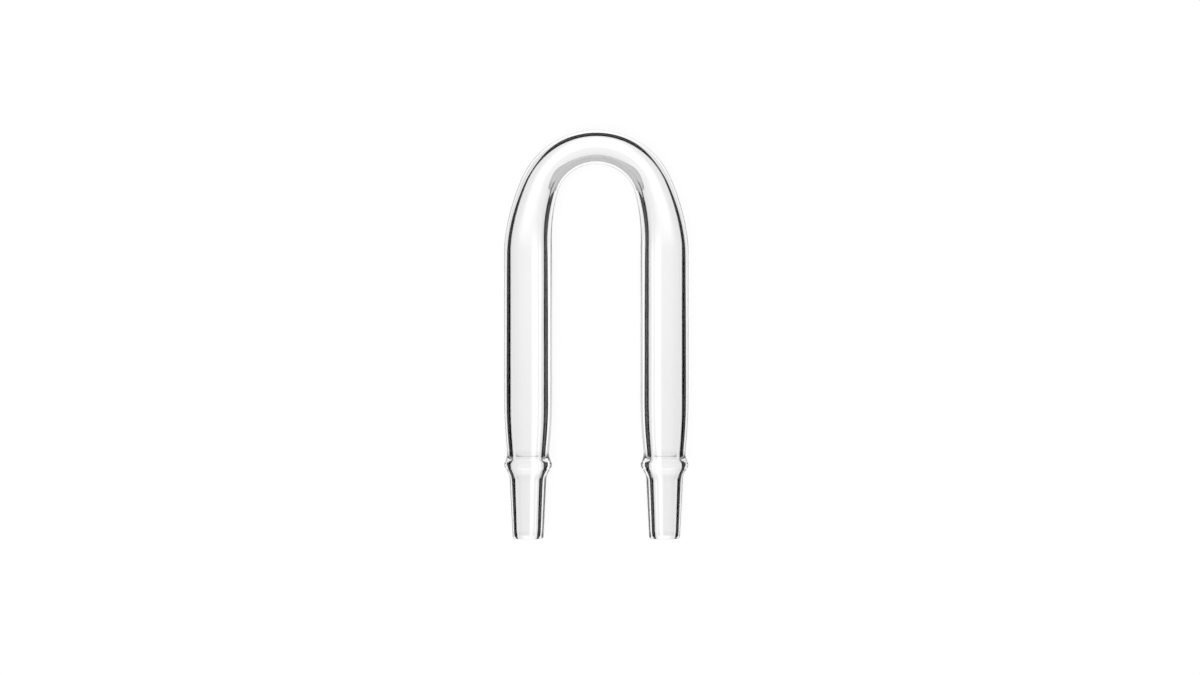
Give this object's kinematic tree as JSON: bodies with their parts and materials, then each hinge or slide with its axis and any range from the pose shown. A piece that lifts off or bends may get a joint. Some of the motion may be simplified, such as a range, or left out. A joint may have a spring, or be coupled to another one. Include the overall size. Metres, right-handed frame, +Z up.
{
  "type": "drying tube",
  "caption": "U-shaped glass drying tube with a hand-bent arch, straight legs, and a necked bead and male standard-taper joint on each end.",
  "frame": {"origin": "middle of the tube's length and width, on the bench that it lies on", "axes": "+Y along the legs towards the bend, +Z up from the bench, +X from one leg to the other"},
  "size_m": [0.073, 0.162, 0.019],
  "materials": {
    "clear_glass": "clear, fire-polished"
  },
  "bodies": {
    "root": {"drying_tube": "clear_glass"}
  },
  "joints": []
}
